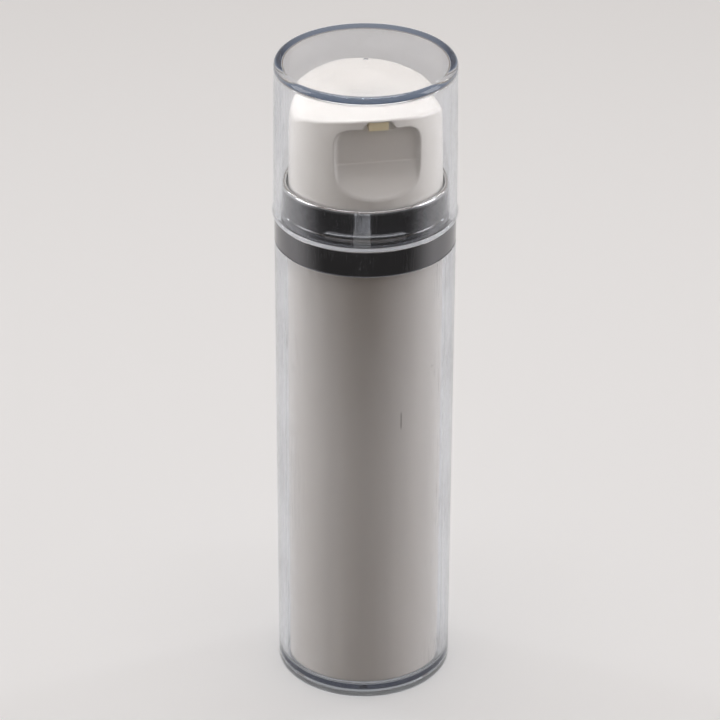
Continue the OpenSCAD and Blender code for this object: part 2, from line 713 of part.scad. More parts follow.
// Follower: double-lipped wall, raised crown and a well that takes the pump body
module follower_piston() {
    w = follower_wall;
    r = follower_r;
    wr = follower_wall_r;
    e = follower_edge;
    z_well = z_follower + w + follower_well_h;
    color([0.9, 0.91, 0.93]) rotate_extrude() polygon([
        [0, z_well - w], [well_r + w, z_well - w], [well_r + w, z_crown - 1.4 * w],
        [crown_r - 1.3 * w, z_crown - 1.4 * w], [wr - w, z_lip_top - follower_lip_h - w],
        [wr - w, z_follower + follower_lip_h], [r - e, z_follower], [r, z_follower],
        [r, z_follower + e], [wr, z_follower + follower_lip_h],
        [wr, z_lip_top - follower_lip_h], [r, z_lip_top - e], [r, z_lip_top],
        [r - e, z_lip_top], [wr - e, z_lip_top - follower_lip_h + e / 2],
        [crown_r, z_lip_top - follower_lip_h + e], [crown_r, z_crown - 2 * e],
        [crown_r - 2 * e, z_crown], [well_r + e, z_crown], [well_r, z_crown - e],
        [well_r, z_well], [0, z_well]]);
}

overcap();
button_shell();
nozzle_insert();
pump_stem();
piston_rod();
pump_piston();
return_spring();
stem_guide();
pump_body();
inlet_ball();
closure_plug();
neck_gasket();
collar();
outer_shell();
inner_cup();
follower_piston();
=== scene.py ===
# %% [markdown]
# # An airless pump bottle
#
# The bottle is a stack of moulded pieces that are nearly all turned shapes: a clear shell with a
# thick base, a white cup that hangs in it, a plated collar, a white button with a scooped front
# and a clear overcap. The packed model gives their places. This script dresses it: finer meshes
# where light runs along a curve, a material for each plastic and metal, and a small studio.
#
# The first cell loads the packed model. Its nodes stay where they are, and their boxes give the
# sizes that the dressed pieces are built to.

# %% Load the packed model
import math

import bmesh
import bpy
import numpy as np
from mathutils import Matrix, Vector


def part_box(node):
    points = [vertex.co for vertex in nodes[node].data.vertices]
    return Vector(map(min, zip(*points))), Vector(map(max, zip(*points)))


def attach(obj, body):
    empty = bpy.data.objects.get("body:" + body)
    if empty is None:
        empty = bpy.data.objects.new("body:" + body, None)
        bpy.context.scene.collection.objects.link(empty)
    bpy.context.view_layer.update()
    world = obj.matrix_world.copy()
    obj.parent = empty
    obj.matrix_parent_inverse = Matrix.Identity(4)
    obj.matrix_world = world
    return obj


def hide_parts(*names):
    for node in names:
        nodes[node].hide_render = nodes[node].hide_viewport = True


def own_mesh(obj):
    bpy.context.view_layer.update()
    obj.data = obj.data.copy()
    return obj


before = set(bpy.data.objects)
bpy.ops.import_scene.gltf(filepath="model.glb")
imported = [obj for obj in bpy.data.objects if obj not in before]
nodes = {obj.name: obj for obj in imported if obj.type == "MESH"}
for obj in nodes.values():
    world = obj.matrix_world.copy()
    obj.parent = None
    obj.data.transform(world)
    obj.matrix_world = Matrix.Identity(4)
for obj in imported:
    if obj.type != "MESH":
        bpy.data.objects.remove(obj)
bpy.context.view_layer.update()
MM = 0.001


# %% [markdown]
# ## A socket that can do sums
#
# Both shader trees and geometry trees are graphs of nodes. Wiring them by hand hides the idea
# behind dozens of links. Here one small class wraps an output socket: sums and products of
# sockets add Math nodes, and one method adds any other node.

# %% The socket wrapper
class Wire:
    """An output socket of a node tree. A wire with no socket is a place to start from."""

    def __init__(self, tree, socket=None):
        self.tree, self.socket = tree, socket

    def node(self, kind, settings=None, inputs=None, out=0):
        """Adds a node: its settings first, then its sockets' values or links."""
        made = self.tree.nodes.new(kind)
        for name, value in (settings or {}).items():
            setattr(made, name, value)
        for key, value in (inputs or {}).items():
            if isinstance(value, Wire):
                self.tree.links.new(value.socket, made.inputs[key])
            else:
                made.inputs[key].default_value = value
        return Wire(self.tree, made.outputs[out] if made.outputs else None)

    def other(self, out):
        """Another output of the same node."""
        return Wire(self.tree, self.socket.node.outputs[out])

    def math(self, operation, *values, clamp=False):
        """A Math node, for the sums that Python has no sign for."""
        settings = {"operation": operation, "use_clamp": clamp}
        return self.node("ShaderNodeMath", settings, dict(enumerate(values)))

    def __add__(self, value):
        return self.math("ADD", self, value)

    def __sub__(self, value):
        return self.math("SUBTRACT", self, value)

    def __rsub__(self, value):
        return self.math("SUBTRACT", value, self)

    def __mul__(self, value):
        return self.math("MULTIPLY", self, value)

    def __truediv__(self, value):
        return self.math("DIVIDE", self, value)

    def __rtruediv__(self, value):
        return self.math("DIVIDE", value, self)

    def __mod__(self, value):
        return self.math("FLOORED_MODULO", self, value)

    def __pow__(self, value):
        return self.math("POWER", self, value)

    __radd__, __rmul__ = __add__, __mul__

    def absolute(self):
        return self.math("ABSOLUTE", self)

    def larger(self, value):
        return self.math("MAXIMUM", self, value)

    def smaller(self, value):
        return self.math("MINIMUM", self, value)

    def clamp(self):
        return self.math("ADD", self, 0.0, clamp=True)

    def step(self, low, high):
        """0 below low, 1 above high and smooth between them."""
        settings = {"interpolation_type": "SMOOTHSTEP"}
        return self.node("ShaderNodeMapRange", settings,
                         {"Value": self, "From Min": low, "From Max": high})

    def mix(self, first, second):
        """A colour between two colours, with this wire as the factor."""
        settings = {"data_type": "RGBA"}
        return self.node("ShaderNodeMix", settings,
                         {"Factor": self, 6: first, 7: second}, out=2)


print("a wire's own operations:", sum(callable(v) for v in vars(Wire).values()))


# %% [markdown]
# ## Materials
#
# Every finish starts from a Principled surface. What is the same all over goes straight onto its
# sockets. What varies, such as the fine scratches, the moulding's ripple and dust specks, is
# worked out from Object coordinates and feeds only roughness, colour and bump. The helpers below
# make the two patterns that most of the finishes share.

# %% Helpers for finishes
def finish(name, colour, roughness, metallic=0.0, **constants):
    """A material, its Principled node and a wire to start from."""
    material = bpy.data.materials.new(name)
    material.use_nodes = True
    tree = material.node_tree
    surface = tree.nodes["Principled BSDF"]
    surface.inputs["Base Color"].default_value = (*colour, 1)
    surface.inputs["Roughness"].default_value = roughness
    surface.inputs["Metallic"].default_value = metallic
    for socket, value in constants.items():
        surface.inputs[socket.replace("_", " ")].default_value = value
    material.diffuse_color = (*colour, 1)
    return material, surface, Wire(tree)


def feed(surface, **wires):
    for socket, wire in wires.items():
        surface.id_data.links.new(wire.socket, surface.inputs[socket.replace("_", " ")])


def noise(start, where, scale, detail=2.0, roughness=0.5):
    """A noise value; scale is in cycles per metre."""
    inputs = {"Vector": where, "Scale": scale, "Detail": detail, "Roughness": roughness}
    return start.node("ShaderNodeTexNoise", None, inputs)


def mapped(start, where, turn=(0, 0, 0), scale=(1, 1, 1)):
    inputs = {"Vector": where, "Rotation": turn, "Scale": scale}
    return start.node("ShaderNodeMapping", None, inputs)


def scratches(start, where, turns, scale, stretch, width, patchy):
    """Thin hairlines, one set for each turn, broken into patches."""
    total = None
    for i, turn in enumerate(turns):
        long = mapped(start, where, turn, (1, 1, 1 / stretch))
        line = noise(start, long, scale * (1 + 0.23 * i), detail=1.0)
        near = 1 - ((line - 0.5).absolute() / width).clamp()
        patch = noise(start, where, patchy * (1 + 0.31 * i), detail=0.0).step(0.52, 0.66)
        lines = near * patch
        total = lines if total is None else total.larger(lines)
    return total


def bump(start, height, strength, distance):
    """A normal that follows a height wire; distance is in metres."""
    inputs = {"Height": height, "Strength": strength, "Distance": distance}
    return start.node("ShaderNodeBump", None, inputs)


def axes_of(start, where):
    """The three axes of a place: X itself, and Y and Z as its other outputs."""
    return start.node("ShaderNodeSeparateXYZ", None, {0: where})


def mixed(start, share, first, second):
    """A Mix Shader: the first shader at 0, the second at 1."""
    return start.node("ShaderNodeMixShader", None, {0: share, 1: first, 2: second})


# %% [markdown]
# ### Clear plastic
#
# The shell and the overcap are thick clear acrylic, polished in the mould. Glass and clear
# plastic are the same shader with another index. Two things make it read as plastic: hairline
# scratches that catch light, and the cool tint of a thick wall. The tint is absorption inside
# the wall, so it stays faint where the wall is seen square on and deepens at the edges, where
# the light has a long way through. The lowest edge comes matt from the mould, and shows the
# light that runs down inside the wall.
#
# A path tracer gives up after some mirrorings, and a thick rim would end up black. So a ray that
# has been mirrored often meets a faint bluish glow instead, which stands for the light that has
# gathered in the wall. A lamp's light is let through by a Transparent shader for shadow rays,
# because a path tracer hardly ever finds a lamp through two curved walls.

# %% Clear acrylic
acrylic_index = 1.49
edge_blend = 0.05 * MM
often_mirrored = 3.5


def clear_acrylic(name, scratch_turns, matt_z, inner_glow):
    """Polished acrylic whose moulded edge below matt_z is left matt."""
    material, surface, start = finish(
        name, (0.985, 0.99, 1.0), 0.015, IOR=acrylic_index, Transmission_Weight=1.0)
    where = start.node("ShaderNodeTexCoord", out="Object")
    hair = scratches(start, where, scratch_turns, scale=900, stretch=26, width=0.012, patchy=55)
    smear = noise(start, where, scale=38, detail=3.0).step(0.45, 0.75)
    edge = 1 - axes_of(start, where).other("Z").step(matt_z - edge_blend, matt_z + edge_blend)
    feed(surface, Roughness=0.012 + 0.22 * hair + 0.02 * smear + 0.3 * edge,
         Normal=bump(start, 1 - hair, strength=0.2, distance=0.02 * MM))
    matt = start.node("ShaderNodeBsdfDiffuse", None, {"Color": (0.9, 0.92, 0.95, 1)})
    clear = start.node("ShaderNodeBsdfTransparent", None, {"Color": (0.975, 0.968, 0.96, 1)})
    gathered = start.node("ShaderNodeEmission", None, {"Color": inner_glow})
    shadow = start.node("ShaderNodeLightPath", out="Is Shadow Ray")
    deep = start.math("GREATER_THAN", shadow.other("Glossy Depth"), often_mirrored)
    wall = mixed(start, 0.7 * edge, Wire(material.node_tree, surface.outputs[0]), matt)
    seen = mixed(start, shadow, mixed(start, deep, wall, gathered), clear)
    tint = start.node("ShaderNodeVolumeAbsorption", None,
                      {"Color": (0.25, 0.32, 0.42, 1), "Density": 60.0})
    output = material.node_tree.nodes["Material Output"]
    material.node_tree.links.new(seen.socket, output.inputs["Surface"])
    material.node_tree.links.new(tint.socket, output.inputs["Volume"])
    return material


cap_lo, cap_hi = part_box("overcap")
cap_clear = clear_acrylic("overcap_acrylic", [(0.5, 0.2, 0.1), (1.1, -0.4, 0.7)],
                          matt_z=cap_lo.z + 0.15 * MM, inner_glow=(0.34, 0.38, 0.45, 1))
shell_clear = clear_acrylic("shell_acrylic", [(0.1, 0.05, 0.0), (0.9, 0.5, 0.3)],
                            matt_z=0.1 * MM, inner_glow=(0.14, 0.14, 0.165, 1))
print("clear finishes:", cap_clear.name, shell_clear.name)


# %% [markdown]
# ### White plastics
#
# The button is glossy polypropylene: bright white, with a faint orange peel that bends its
# highlights. The cup behind the shell is the same family but satin and a little warmer, with
# flow marks down its length, tiny specks where dust was moulded in, and one short upright
# scratch on its front. A mark of a known place is two distances from it, each turned into a
# soft mask, and their product.

# %% Glossy white for the button
def glossy_white():
    material, surface, start = finish("button_gloss", (0.82, 0.808, 0.79), 0.2, IOR=1.5)
    where = start.node("ShaderNodeTexCoord", out="Object")
    peel = noise(start, where, scale=420)
    cloud = noise(start, where, scale=60, detail=3.0)
    feed(surface, Roughness=0.17 + 0.09 * cloud,
         Base_Color=cloud.step(0.3, 0.75).mix((0.83, 0.818, 0.8, 1), (0.805, 0.793, 0.775, 1)),
         Normal=bump(start, peel, strength=0.5, distance=0.006 * MM))
    print("button finish:", material.name)
    return material


# %% Satin white for the cup
scratch_x, scratch_z = 4.8 * MM, 68.8 * MM


def satin_white():
    material, surface, start = finish("cup_satin", (0.725, 0.707, 0.693), 0.38, IOR=1.5)
    where = start.node("ShaderNodeTexCoord", out="Object")
    flow = noise(start, mapped(start, where, scale=(1, 1, 0.06)), scale=240, detail=3.0)
    grain = noise(start, where, scale=1500)
    specks = start.node("ShaderNodeTexVoronoi", None, {"Vector": where, "Scale": 160})
    speck = 1 - specks.step(0.03, 0.06)
    rare = noise(start, where, scale=95, detail=0.0).step(0.6, 0.62)
    axes = axes_of(start, where)
    across = 1 - (axes - scratch_x).absolute().step(0.08 * MM, 0.2 * MM)
    along = 1 - (axes.other("Z") - scratch_z).absolute().step(1.4 * MM, 2.4 * MM)
    front = start.math("LESS_THAN", axes.other("Y"), 0.0)
    marks = (0.6 * speck * rare).larger(0.8 * across * along * front)
    tone = flow.step(0.25, 0.8).mix((0.74, 0.72, 0.702, 1), (0.70, 0.682, 0.668, 1))
    feed(surface, Base_Color=marks.mix(tone, (0.3, 0.28, 0.27, 1)),
         Roughness=0.33 + 0.1 * grain + 0.08 * flow,
         Normal=bump(start, 0.4 * flow + 0.3 * grain, strength=0.2, distance=0.05 * MM))
    print("cup finish:", material.name)
    return material


# %% [markdown]
# ### Plated collar, ivory insert and the hidden pieces
#
# The collar is plastic with a bright plated skin, so it is a metal to the renderer. It mirrors
# its surroundings, and what gives it away as a used piece are the fine cleaning scratches. Its
# colour is painted darker than bright plating, a painted reflection of dark surroundings, and a
# band along the top of the lip is painted bright, a painted highlight. The insert is ivory
# polypropylene. The pump's pieces are natural, unpigmented plastics, a steel spring and a soft
# gasket.

# %% Plated metal
# The dark colour is a painted reflection of dark surroundings. The bright one is a painted
# highlight on the lip and also the colour of bright scratches.
painted_dark_plating, highlight_and_scratch_plating = (0.2, 0.2, 0.21), (0.66, 0.66, 0.67)


def plated(lip_z):
    """Chrome in a painted dark colour, with a painted highlight along the lip and bright
    scratches.
    """
    material, surface, start = finish("collar_plating", painted_dark_plating, 0.07, metallic=1.0)
    where = start.node("ShaderNodeTexCoord", out="Object")
    # Painted highlight: the colour turns bright along the top of the lip.
    lip_highlight = axes_of(start, where).other("Z").step(lip_z - 1.0 * MM, lip_z - 0.5 * MM)
    hair = scratches(start, where, [(0.9, 0.3, 0.0), (0.2, 0.9, 0.5), (1.4, 0.1, 1.0)],
                     scale=1300, stretch=20, width=0.014, patchy=120)
    cloud = noise(start, where, scale=130, detail=3.0)
    bright = (lip_highlight + 0.08 * hair).clamp()
    feed(surface, Roughness=0.02 + 0.04 * cloud + 0.12 * hair,
         Base_Color=bright.mix((*painted_dark_plating, 1), (*highlight_and_scratch_plating, 1)),
         Normal=bump(start, 1 - hair, strength=0.3, distance=0.02 * MM))
    print("plating:", material.name)
    return material


# %% Plain moulded plastics and steel
def moulded(name, colour, roughness, metallic=0.0, grain=900.0, shade=0.93):
    """One colour with broad darker clouds, of the given shade, and a fine grain."""
    material, surface, start = finish(name, colour, roughness, metallic)
    where = start.node("ShaderNodeTexCoord", out="Object")
    fine = noise(start, where, scale=grain, detail=3.0)
    broad = noise(start, where, scale=grain / 9)
    dark = tuple(c * shade for c in colour) + (1,)
    feed(surface, Base_Color=broad.step(0.3, 0.7).mix((*colour, 1), dark),
         Roughness=roughness * 0.8 + 0.4 * roughness * fine,
         Normal=bump(start, fine, strength=0.3, distance=0.04 * MM))
    return material


ivory = moulded("insert_ivory", (1.0, 0.9, 0.63), 0.3)
natural = moulded("pump_natural", (0.80, 0.80, 0.77), 0.35)
sliding = moulded("piston_soft", (0.84, 0.83, 0.78), 0.45)
white_inside = moulded("closure_white", (0.8, 0.8, 0.79), 0.35)
rubber = moulded("gasket_soft", (0.62, 0.62, 0.6), 0.7, grain=1600)
steel = moulded("spring_steel", (0.62, 0.63, 0.65), 0.22, metallic=1.0, grain=2600)
print("finishes:", len(bpy.data.materials))


# %% [markdown]
# ## Turned pieces with Geometry Nodes
#
# Shell, cup, collar and overcap follow one rule: a profile is spun round the bottle's axis. The
# Spin tool or a Screw modifier could do it, but both leave the corners sharp. This tree takes a
# profile drawn as a chain of points, rounds each corner by the radius stored in that point, and
# lays a grid over it: one row for each point of the rounded profile, one column for each step
# round the axis. Sizes can be changed later without drawing anything again.

# %% Helpers for geometry trees
def geometry_tree(name, sizes):
    """A tree with a geometry input and named size inputs. Returns it with its input wires."""
    tree = bpy.data.node_groups.new(name, "GeometryNodeTree")
    ports = tree.interface
    ports.new_socket("Geometry", in_out="INPUT", socket_type="NodeSocketGeometry")
    for label, kind in sizes.items():
        ports.new_socket(label, in_out="INPUT", socket_type="NodeSocket" + kind)
    ports.new_socket("Geometry", in_out="OUTPUT", socket_type="NodeSocketGeometry")
    given = tree.nodes.new("NodeGroupInput")
    return tree, {s.name: Wire(tree, s) for s in given.outputs if s.name}


def end_tree(wire, given):
    """Every tree ends in Realize Instances and Set Material."""
    real = wire.node("GeometryNodeRealizeInstances", None, {"Geometry": wire})
    dressed = real.node("GeometryNodeSetMaterial", None,
                        {"Geometry": real, "Material": given["Material"]})
    out = wire.tree.nodes.new("NodeGroupOutput")
    wire.tree.links.new(dressed.socket, out.inputs["Geometry"])


def use_tree(piece, tree, **values):
    """Adds the tree as a modifier and sets its named inputs by their identifiers."""
    modifier = piece.modifiers.new(tree.name, "NODES")
    modifier.node_group = tree
    sockets = {s.name: s.identifier for s in tree.interface.items_tree
               if s.in_out == "INPUT"}
    for label, value in values.items():
        modifier[sockets[label.replace("_", " ")]] = value


def settle(piece, material, smooth_deg=35):
    """Turns a piece with live modifiers into a plain mesh."""
    evaluated = piece.evaluated_get(bpy.context.evaluated_depsgraph_get())
    mesh = bpy.data.meshes.new_from_object(evaluated)
    piece.modifiers.clear()
    piece.data = mesh
    mesh.name = piece.name
    mesh.materials.clear()
    mesh.materials.append(material)
    mesh.set_sharp_from_angle(angle=math.radians(smooth_deg))
    print(piece.name, "triangles:", sum(len(p.vertices) - 2 for p in mesh.polygons))
    return piece


def new_piece(name, mesh):
    piece = bpy.data.objects.new(name, mesh)
    bpy.context.scene.collection.objects.link(piece)
    return piece


# %% The tree that turns a profile
seam = 0.002 * MM


def turning_tree():
    """Points closer than the seam are one point, so the last column closes on the first."""
    tree, given = geometry_tree("Turn a profile", {
        "Columns": "Int", "Corner points": "Int", "Closed": "Int", "Material": "Material"})
    start = given["Geometry"]
    chain = start.node("GeometryNodeMeshToCurve", None, {"Mesh": start})
    corner = start.node("GeometryNodeInputNamedAttribute", {"data_type": "FLOAT"},
                        {"Name": "corner"})
    round_chain = start.node("GeometryNodeFilletCurve", {"mode": "POLY"}, {
        "Curve": chain, "Count": given["Corner points"], "Radius": corner,
        "Limit Radius": True})
    rows = start.node("GeometryNodeAttributeDomainSize", {"component": "CURVE"},
                      {"Geometry": round_chain})
    line = given["Columns"] + 1
    grid = start.node("GeometryNodeMeshGrid", None, {
        "Vertices X": rows + given["Closed"], "Vertices Y": line})
    index = start.node("GeometryNodeInputIndex")
    row = start.math("FLOOR", (index + 0.5) / line)
    column = index - row * line
    place = start.node("GeometryNodeInputPosition")
    settings = {"data_type": "FLOAT_VECTOR", "domain": "POINT"}
    point = start.node("GeometryNodeSampleIndex", settings, {
        "Geometry": round_chain, "Value": place, "Index": row % rows})
    drawn = axes_of(start, point)
    angle = column * -math.tau / given["Columns"]
    spun = start.node("ShaderNodeCombineXYZ", None, {
        "X": drawn * start.math("COSINE", angle), "Y": drawn * start.math("SINE", angle),
        "Z": drawn.other("Z")})
    lathe = start.node("GeometryNodeSetPosition", None, {"Geometry": grid, "Position": spun})
    seamless = start.node("GeometryNodeMergeByDistance", None,
                          {"Geometry": lathe, "Distance": seam})
    smooth = start.node("GeometryNodeSetShadeSmooth", None, {"Geometry": seamless})
    end_tree(smooth, given)
    return tree


turning = turning_tree()
print(turning.name, "nodes:", len(turning.nodes))


# %% Draw a profile and turn it
def turned(name, profile, material, closed, columns=256, corner_points=6):
    """Profile points are (radius, height, corner radius), in mm, anticlockwise."""
    mesh = bpy.data.meshes.new(name)
    count = len(profile)
    edges = [(i, i + 1) for i in range(count - 1)] + ([(count - 1, 0)] if closed else [])
    mesh.from_pydata([(r * MM, 0, z * MM) for r, z, _ in profile], edges, [])
    corner = mesh.attributes.new("corner", "FLOAT", "POINT")
    corner.data.foreach_set("value", [c * MM for _, _, c in profile])
    piece = new_piece(name, mesh)
    use_tree(piece, turning, Columns=columns, Corner_points=corner_points,
             Closed=int(closed), Material=material)
    return piece


def measure(piece):
    """Prints a closed piece's volume, which is positive where its faces point outwards."""
    work = bmesh.new()
    work.from_mesh(piece.data)
    print(piece.name, "volume in mm3:", round(work.calc_volume(signed=True) / MM**3),
          "open edges:", sum(not e.is_manifold for e in work.edges))
    work.free()


def even_shading(piece):
    """Lets wide faces keep their own direction, so only the rounded corners turn."""
    weighted = piece.modifiers.new("Even shading", "WEIGHTED_NORMAL")
    weighted.weight = 100
    weighted.keep_sharp = True


# %% [markdown]
# ## The clear shell
#
# The shell is injection moulded with a slight draft, so it widens upwards. Its base is thick and
# stands on a ring, and the light that this base gathers is what makes the foot glow. The spigot
# at the top, which the collar snaps over, is hidden by the collar but closes the form.

# %% Sizes that the frame gives
shell_lo, shell_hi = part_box("outer_shell")
collar_lo, collar_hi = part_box("collar")
cup_lo, cup_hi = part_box("inner_cup")
button_lo, button_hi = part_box("button_shell")
shell_r = collar_hi.x / MM
shoulder = collar_lo.z / MM
spigot_top = shell_hi.z / MM
lip_z = collar_hi.z / MM
print("shell radius", round(shell_r, 2),
      "shoulder", round(shoulder, 2), "lip", round(lip_z, 2))

# %% Turn the shell
shell_draft = 0.3
shell_wall = 2.2
base_t = 2.3
spigot_r = shell_r - 1.25
foot_r = shell_r - shell_draft
bore_r = shell_r - shell_wall
ring_r = foot_r - 4.5
hollow = 0.5
vent_r = 1.0

shell = turned("shell_clear", [
    (vent_r, hollow, 0.1), (ring_r, hollow, 0.3), (ring_r + hollow, 0, 0.3), (foot_r, 0, 1.0),
    (shell_r, shoulder, 0.08), (spigot_r, shoulder, 0.05), (spigot_r, spigot_top, 0.1),
    (bore_r, spigot_top, 0.1), (bore_r, base_t, 1.45), (vent_r, base_t, 0.1)],
    shell_clear, closed=True, columns=320)
even_shading(shell)
settle(shell, shell_clear)
measure(shell)
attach(shell, "bottle")
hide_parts("outer_shell")

# %% [markdown]
# ## The overcap and its snap beads
#
# The overcap is a turned shape too, closed by a flat top plate. Inside its foot three low beads
# snap into the collar's groove. They repeat round the axis, so a second tree raises them out of
# the wall: it pushes the inner wall's points inwards where a point lies within a bead's arc and
# height. The wall and its beads stay one body, which refraction needs.

# %% The tree that raises beads
def bead_tree():
    tree, given = geometry_tree("Raise snap beads", {
        "Beads": "Float", "First bead": "Float", "Half arc": "Float", "Height": "Float",
        "Half height": "Float", "Rise": "Float", "Wall radius": "Float",
        "Material": "Material"})
    start = given["Geometry"]
    place = start.node("GeometryNodeInputPosition")
    x = axes_of(start, place)
    y, z = x.other("Y"), x.other("Z")
    radius = (x * x + y * y) ** 0.5
    pitch = math.tau / given["Beads"]
    turn = start.math("ARCTAN2", y, x) - given["First bead"] + pitch * 0.5
    along = turn % pitch - pitch * 0.5
    past = (along.absolute() - given["Half arc"]).larger(0.0)
    from_end = past * given["Wall radius"] / given["Half height"]
    from_middle = (z - given["Height"]) / given["Half height"]
    left = (1 - from_end * from_end - from_middle * from_middle).larger(0.0)
    inner = start.math("LESS_THAN", radius, given["Wall radius"])
    rise = (left ** 0.5) * given["Rise"] * inner / radius
    offset = start.node("ShaderNodeCombineXYZ", None, {"X": 0 - x * rise, "Y": 0 - y * rise})
    raised = start.node("GeometryNodeSetPosition", None, {"Geometry": start, "Offset": offset})
    end_tree(raised, given)
    return tree


# %% Turn the overcap
cap_foot_z, cap_top_z = cap_lo.z / MM, cap_hi.z / MM
cap_rim = 0.2
cap_rim_h = 0.9
cap_foot_r = cap_hi.x / MM - cap_rim
cap_top_r = cap_foot_r - 0.3
cap_wall = 1.55
cap_top_t = 1.9
gate_r, gate_depth, gate_draft = 0.5, 0.12, 0.05
bead_z = cap_foot_z + 2.45
bead_half, bead_rise, bead_rows_half = 0.75, 0.33, 10
in_foot, in_top = cap_foot_r - cap_wall, cap_top_r - cap_wall


def inner_wall(z):
    share = (z - cap_foot_z) / (cap_top_z - cap_top_t - cap_foot_z)
    return in_foot + (in_top - in_foot) * share


bead_rows = [bead_z + 1.1 * bead_half * math.sin(math.pi / 2 * i / bead_rows_half)
             for i in range(-bead_rows_half, bead_rows_half + 1)]
overcap = turned("overcap_clear", [
    (0, cap_top_z - cap_top_t, 0), (in_top, cap_top_z - cap_top_t, 0.6)]
    + [(inner_wall(z), z, 0) for z in reversed(bead_rows)]
    + [(in_foot, cap_foot_z, 0.2), (cap_foot_r + cap_rim, cap_foot_z, 0.22),
       (cap_foot_r + cap_rim, cap_foot_z + cap_rim_h - 0.15, 0.2),
       (cap_foot_r, cap_foot_z + cap_rim_h, 0.25), (cap_top_r, cap_top_z, 1.1),
       (gate_r, cap_top_z, 0.04), (gate_r - gate_draft, cap_top_z - gate_depth, 0.04),
       (0, cap_top_z - gate_depth, 0)],
    cap_clear, closed=False, columns=480)
use_tree(overcap, bead_tree(), Beads=3.0, First_bead=math.radians(-100),
         Half_arc=math.radians(25), Height=bead_z * MM, Half_height=bead_half * MM,
         Rise=bead_rise * MM, Wall_radius=(in_foot + 0.1) * MM, Material=cap_clear)
even_shading(overcap)
settle(overcap, cap_clear)
measure(overcap)
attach(overcap, "overcap")
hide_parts("overcap")

# %% [markdown]
# ## The collar
#
# The collar's lower band lies flush with the shell. The step above it carries the overcap, and
# the upper band ends in a lip that is rolled over to a full round. Plating shows every flat and
# every corner, so the corners are rounded by the tree instead of by a bevel.

# %% Turn the collar
up_r = shell_r - 1.75
lip_wall = 0.83
button_bore_r = up_r - lip_wall
step_z = cap_foot_z - 0.05
plate_z = step_z - 1.0
band_bore_r = shell_r - 1.15
groove_z, groove_d = step_z + 2.5, 0.15
groove_flat, groove_open = 0.2, 0.35
lip_round = lip_wall / 2 - 0.002

collar = turned("collar_plated", [
    (band_bore_r, shoulder, 0.1), (shell_r, shoulder, 0.22), (shell_r, step_z, 0.28),
    (up_r, step_z, 0.12), (up_r, groove_z - groove_open, 0.05),
    (up_r - groove_d, groove_z - groove_flat, 0.1),
    (up_r - groove_d, groove_z + groove_flat, 0.1), (up_r, groove_z + groove_open, 0.05),
    (up_r, lip_z, lip_round), (button_bore_r, lip_z, lip_round),
    (button_bore_r, plate_z, 0.05), (band_bore_r, plate_z, 0.05)],
    None, closed=True, columns=320, corner_points=8)
collar_metal = plated(lip_z * MM)
even_shading(collar)
settle(collar, collar_metal)
measure(collar)
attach(collar, "bottle")
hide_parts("collar")

# %% [markdown]
# ## The white cup
#
# The cup hangs by its flange from the shell's spigot. Its foot ring is rounded and stops just
# short of the shell's base, so a dark line shows round the foot. Below its flange the cup flares
# into a slightly wider neck.

# %% Turn the cup
cup_r = bore_r - 0.65
cup_wall = 1.5
cup_bore_r = cup_r - cup_wall
cup_foot = cup_lo.z / MM
cup_top = cup_hi.z / MM
floor_low, floor_high = cup_foot + 6.0, cup_foot + 7.4
flange_r = cup_hi.x / MM
neck_r = bore_r - 0.3
neck_curve = 35.0

cup = turned("cup_white", [
    (cup_bore_r, cup_foot, 0.3), (cup_r, cup_foot, 1.0), (cup_r, spigot_top - 8.0, neck_curve),
    (neck_r, spigot_top - 4.0, neck_curve), (neck_r, spigot_top, 0.05),
    (flange_r, spigot_top, 0.05), (flange_r, cup_top, 0.05), (cup_bore_r, cup_top, 0.2),
    (cup_bore_r, floor_high, 0.4), (vent_r, floor_high, 0.1), (vent_r, floor_low, 0.1),
    (cup_bore_r, floor_low, 0.4)], None, closed=True, columns=256)
cup_white = satin_white()
even_shading(cup)
settle(cup, cup_white)
measure(cup)
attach(cup, "bottle")
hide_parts("inner_cup")

# %% [markdown]
# ## The button
#
# The button is the hardest shape: a drafted round wall, a top that arches from side to side and
# falls to the back, a finger dish, a scoop in the front and a notch for the nozzle, all blended
# by small roundings as they come out of a polished mould. Bevels on such crossing cuts break
# down, so the shape is written as a distance formula instead. Each simple form gives the
# distance to its surface, and joining two distances with a rounded maximum rounds the edge
# between them. A copy of the CAD node is remeshed evenly, and every point near the outside is
# then drawn onto the formula's surface, whose slope also gives exact normals.

# %% The button's form as a distance, in mm
wall_r, wall_draft = 16.42, math.radians(1.4)
skirt_z, front_z = button_lo.z / MM, lip_z + 20.2
top_tilt = math.radians(3.1)
crest_z = front_z - (wall_r - (front_z - skirt_z) * math.tan(wall_draft)) * math.tan(top_tilt)
arch_r, side_r = 50.0, 5.0
dish_r, dish_depth, dish_back = 6.9, 0.9, 2.5
recess_back, recess_half, recess_corner = 12.8, 8.8, 3.7
recess_top, scoop_z, scoop_r = front_z - 2.5, front_z - 11.0, 9.3
ledge = 0.13
notch_half, notch_top_half, notch_top = 3.55, 2.3, front_z - 0.65
tip_half, tip_low, tip_high = 2.1, notch_top - 2.15, notch_top - 0.1
duct_y, slot_overlap = -8.0, 1.0
rim_round, dish_round, mouth_round, notch_round, scoop_round = 0.5, 0.5, 0.35, 0.2, 1.0
print("button from", round(skirt_z, 2), "to about", round(crest_z, 2), "mm")


def both(a, b, rounding):
    """Distance to what lies inside two forms, with the edge between them rounded."""
    outside = np.hypot(np.maximum(a + rounding, 0), np.maximum(b + rounding, 0))
    return np.minimum(np.maximum(a, b), -rounding) + outside


def top_form(x, y, z):
    """The arch, tilted towards the back and rolled down at both sides."""
    up = (z - crest_z) * math.cos(top_tilt) + y * math.sin(top_tilt) + arch_r
    side_x = wall_r - side_r
    side_up = math.sqrt((arch_r - side_r) ** 2 - side_x**2)
    out = np.abs(x)
    rolled = np.hypot(out - side_x, up - side_up) - side_r
    beyond = (out - side_x) * side_up > (up - side_up) * side_x
    low = up < side_up
    return np.where(low, out - wall_r, np.where(beyond, rolled, np.hypot(out, up) - arch_r))


